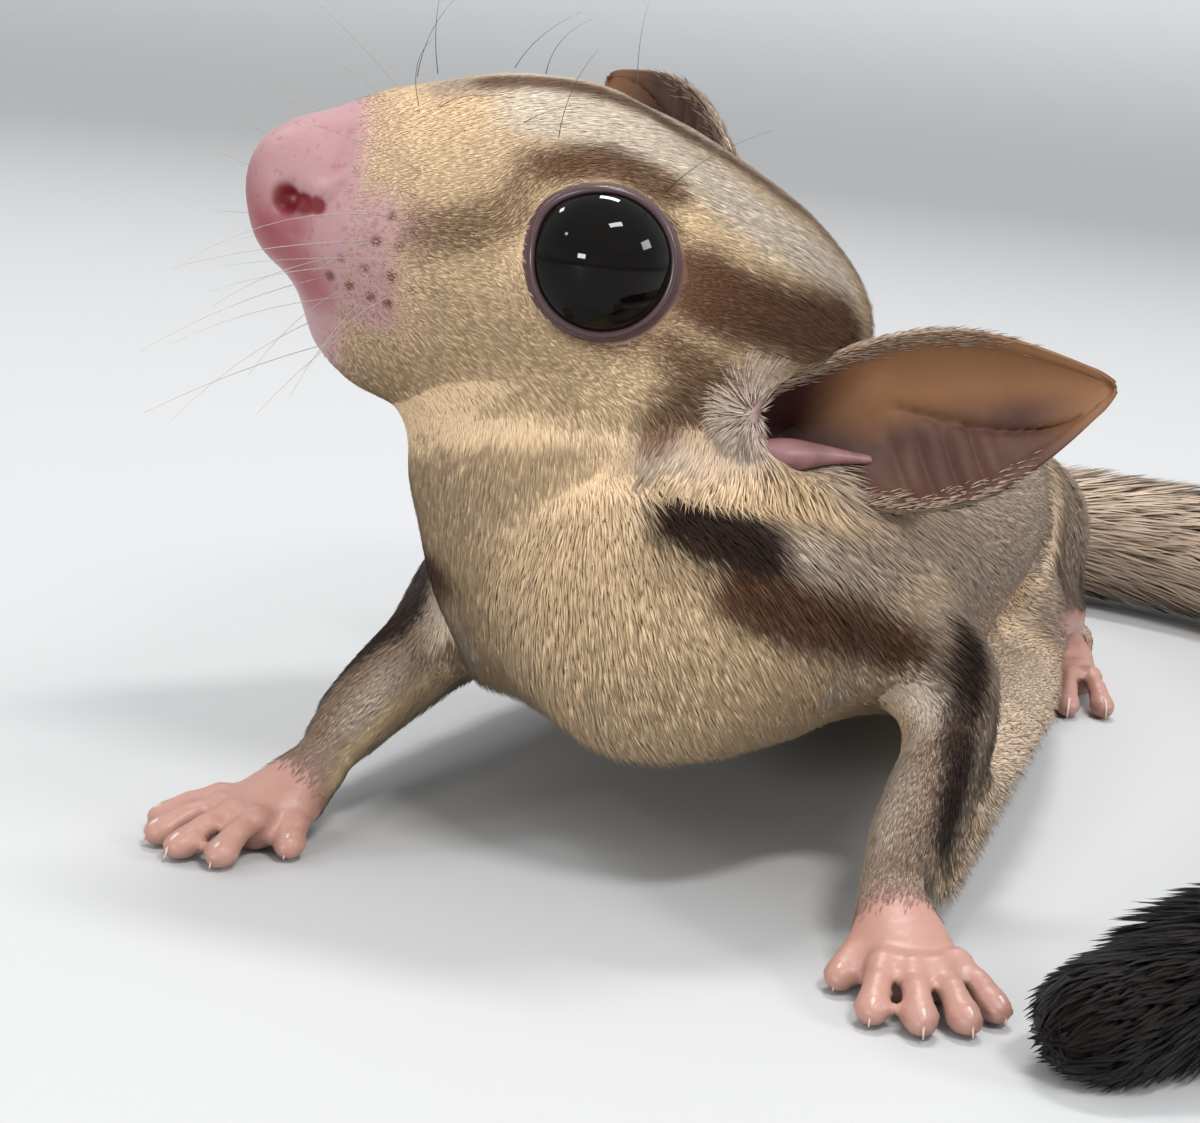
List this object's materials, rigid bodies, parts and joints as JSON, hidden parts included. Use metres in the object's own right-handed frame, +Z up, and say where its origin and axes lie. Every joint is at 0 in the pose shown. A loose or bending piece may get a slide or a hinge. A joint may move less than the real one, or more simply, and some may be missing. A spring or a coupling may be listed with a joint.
{
  "type": "sugar glider",
  "caption": "Life-size sugar glider crouched on the floor, head raised and turned to its right, gliding membrane folded, bushy tail curled round its left side.",
  "frame": {"origin": "middle of the bottom of the whole animal's box, on the floor it stands on", "axes": "+Z up; the body faces -Y; the animal's left side is towards +X"},
  "size_m": [0.0974, 0.1384, 0.0512],
  "materials": {
    "face_coat": "short cream and brown fur",
    "throat_coat": "soft cream fur",
    "belly_coat": "soft pale buff fur",
    "back_coat": "dense grey-brown fur",
    "limb_coat": "short grey-brown fur",
    "membrane_coat": "thin folded skin, grey fur, pale edge",
    "tail_coat": "long bushy grey-brown fur",
    "tail_tip_coat": "long bushy black fur",
    "nose_skin": "moist bare pink skin",
    "paw_skin": "bare pink skin, pale claws",
    "ear_skin": "thin bare brown skin",
    "eye": "wet black"
  },
  "bodies": {
    "root": {"head": "face_coat", "nose": "nose_skin", "neck": "throat_coat", "chest": "belly_coat", "abdomen": "back_coat", "eye_left": "eye", "ear_left": "ear_skin", "upper_arm_left": "limb_coat", "forearm_left": "limb_coat", "hand_left": "paw_skin", "thigh_left": "limb_coat", "shank_left": "limb_coat", "foot_left": "paw_skin", "patagium_left": "membrane_coat", "eye_right": "eye", "ear_right": "ear_skin", "upper_arm_right": "limb_coat", "forearm_right": "limb_coat", "hand_right": "paw_skin", "thigh_right": "limb_coat", "shank_right": "limb_coat", "foot_right": "paw_skin", "patagium_right": "membrane_coat", "tail_1": "tail_coat", "tail_2": "tail_coat", "tail_3": "tail_coat", "tail_4": "tail_coat", "tail_5": "tail_tip_coat"}
  },
  "joints": []
}
